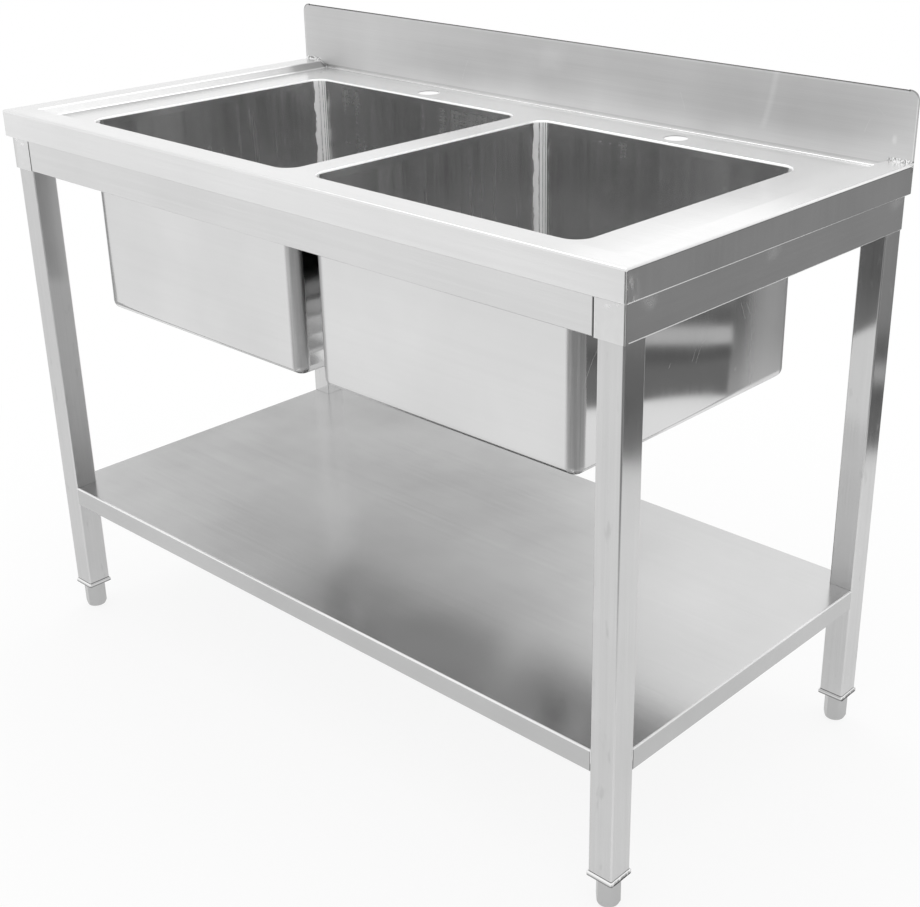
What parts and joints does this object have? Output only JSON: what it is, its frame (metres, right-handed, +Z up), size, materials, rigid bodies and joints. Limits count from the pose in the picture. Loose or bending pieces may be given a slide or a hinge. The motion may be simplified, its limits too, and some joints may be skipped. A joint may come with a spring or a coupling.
{
  "type": "catering sink unit",
  "caption": "Free-standing stainless catering sink: deep bowls under a raised-rim worktop with splashback, on square legs with an undershelf and adjustable feet.",
  "frame": {"origin": "centre of the unit's footprint on the floor, under the middle of its overall box", "axes": "+X along the length towards the viewer's right, +Y from the front skirt to the splashback, +Z up; the front faces -Y"},
  "size_m": [1.2, 0.6042, 0.9525],
  "materials": {
    "worktop_steel": "fine straight grain along the length",
    "bowl_steel": "satin with polished welds in the corners",
    "frame_steel": "fine grain along each piece",
    "shelf_steel": "fine grain along the length",
    "foot_flange_steel": "bright",
    "foot_steel": "turned satin",
    "stud_steel": "bright zinc",
    "waste_steel": "polished",
    "seal_rubber": "matt",
    "washer_fibre": "pressed fibre",
    "nut_plastic": "moulded"
  },
  "bodies": {
    "root": {"sink_top": "worktop_steel", "front_rail": "frame_steel", "back_rail": "frame_steel", "deck_brace": "frame_steel", "undershelf": "shelf_steel", "shelf_stiffener": "frame_steel", "bowl_left": "bowl_steel", "side_rail_left": "frame_steel", "corner_plate_front_left": "frame_steel", "corner_plate_back_left": "frame_steel", "waste_body_left": "waste_steel", "waste_gasket_left": "seal_rubber", "waste_washer_left": "washer_fibre", "waste_nut_left": "nut_plastic", "leg_front_left": "frame_steel", "foot_insert_front_left": "foot_flange_steel", "leg_back_left": "frame_steel", "foot_insert_back_left": "foot_flange_steel", "bowl_right": "bowl_steel", "side_rail_right": "frame_steel", "corner_plate_front_right": "frame_steel", "corner_plate_back_right": "frame_steel", "waste_body_right": "waste_steel", "waste_gasket_right": "seal_rubber", "waste_washer_right": "washer_fibre", "waste_nut_right": "nut_plastic", "leg_front_right": "frame_steel", "foot_insert_front_right": "foot_flange_steel", "leg_back_right": "frame_steel", "foot_insert_back_right": "foot_flange_steel"},
    "basket_left": {"strainer_basket_left": "waste_steel", "basket_stopper_left": "seal_rubber"},
    "foot_stud_front_left": {"foot_stud_front_left": "stud_steel"},
    "foot_front_left": {"foot_hex_front_left": "foot_steel"},
    "foot_stud_back_left": {"foot_stud_back_left": "stud_steel"},
    "foot_back_left": {"foot_hex_back_left": "foot_steel"},
    "basket_right": {"strainer_basket_right": "waste_steel", "basket_stopper_right": "seal_rubber"},
    "foot_stud_front_right": {"foot_stud_front_right": "stud_steel"},
    "foot_front_right": {"foot_hex_front_right": "foot_steel"},
    "foot_stud_back_right": {"foot_stud_back_right": "stud_steel"},
    "foot_back_right": {"foot_hex_back_right": "foot_steel"}
  },
  "joints": [
    {"name": "basket_left_lift", "type": "slide", "parent": "root", "child": "basket_left", "axis": [0, 0, 1], "range_m": [0, 0.36]},
    {"name": "foot_front_left_travel", "type": "slide", "parent": "root", "child": "foot_stud_front_left", "axis": [0, 0, -1], "range_m": [0, 0.021]},
    {"name": "foot_front_left_turn", "type": "hinge", "parent": "foot_stud_front_left", "child": "foot_front_left", "pos_m": [-0.5722, -0.2725, 0.045], "axis": [0, 0, -1], "range_deg": [0, 4320]},
    {"name": "foot_back_left_travel", "type": "slide", "parent": "root", "child": "foot_stud_back_left", "axis": [0, 0, -1], "range_m": [0, 0.021]},
    {"name": "foot_back_left_turn", "type": "hinge", "parent": "foot_stud_back_left", "child": "foot_back_left", "pos_m": [-0.5722, 0.2789, 0.045], "axis": [0, 0, -1], "range_deg": [0, 4320]},
    {"name": "basket_right_lift", "type": "slide", "parent": "root", "child": "basket_right", "axis": [0, 0, 1], "range_m": [0, 0.36]},
    {"name": "foot_front_right_travel", "type": "slide", "parent": "root", "child": "foot_stud_front_right", "axis": [0, 0, -1], "range_m": [0, 0.021]},
    {"name": "foot_front_right_turn", "type": "hinge", "parent": "foot_stud_front_right", "child": "foot_front_right", "pos_m": [0.5722, -0.2725, 0.045], "axis": [0, 0, -1], "range_deg": [0, 4320]},
    {"name": "foot_back_right_travel", "type": "slide", "parent": "root", "child": "foot_stud_back_right", "axis": [0, 0, -1], "range_m": [0, 0.021]},
    {"name": "foot_back_right_turn", "type": "hinge", "parent": "foot_stud_back_right", "child": "foot_back_right", "pos_m": [0.5722, 0.2789, 0.045], "axis": [0, 0, -1], "range_deg": [0, 4320]}
  ],
  "couplings": [
    {"joint": "foot_front_left_turn", "follows": "foot_front_left_travel", "rad_per_m": 3590.4},
    {"joint": "foot_back_left_turn", "follows": "foot_back_left_travel", "rad_per_m": 3590.4},
    {"joint": "foot_front_right_turn", "follows": "foot_front_right_travel", "rad_per_m": 3590.4},
    {"joint": "foot_back_right_turn", "follows": "foot_back_right_travel", "rad_per_m": 3590.4}
  ]
}
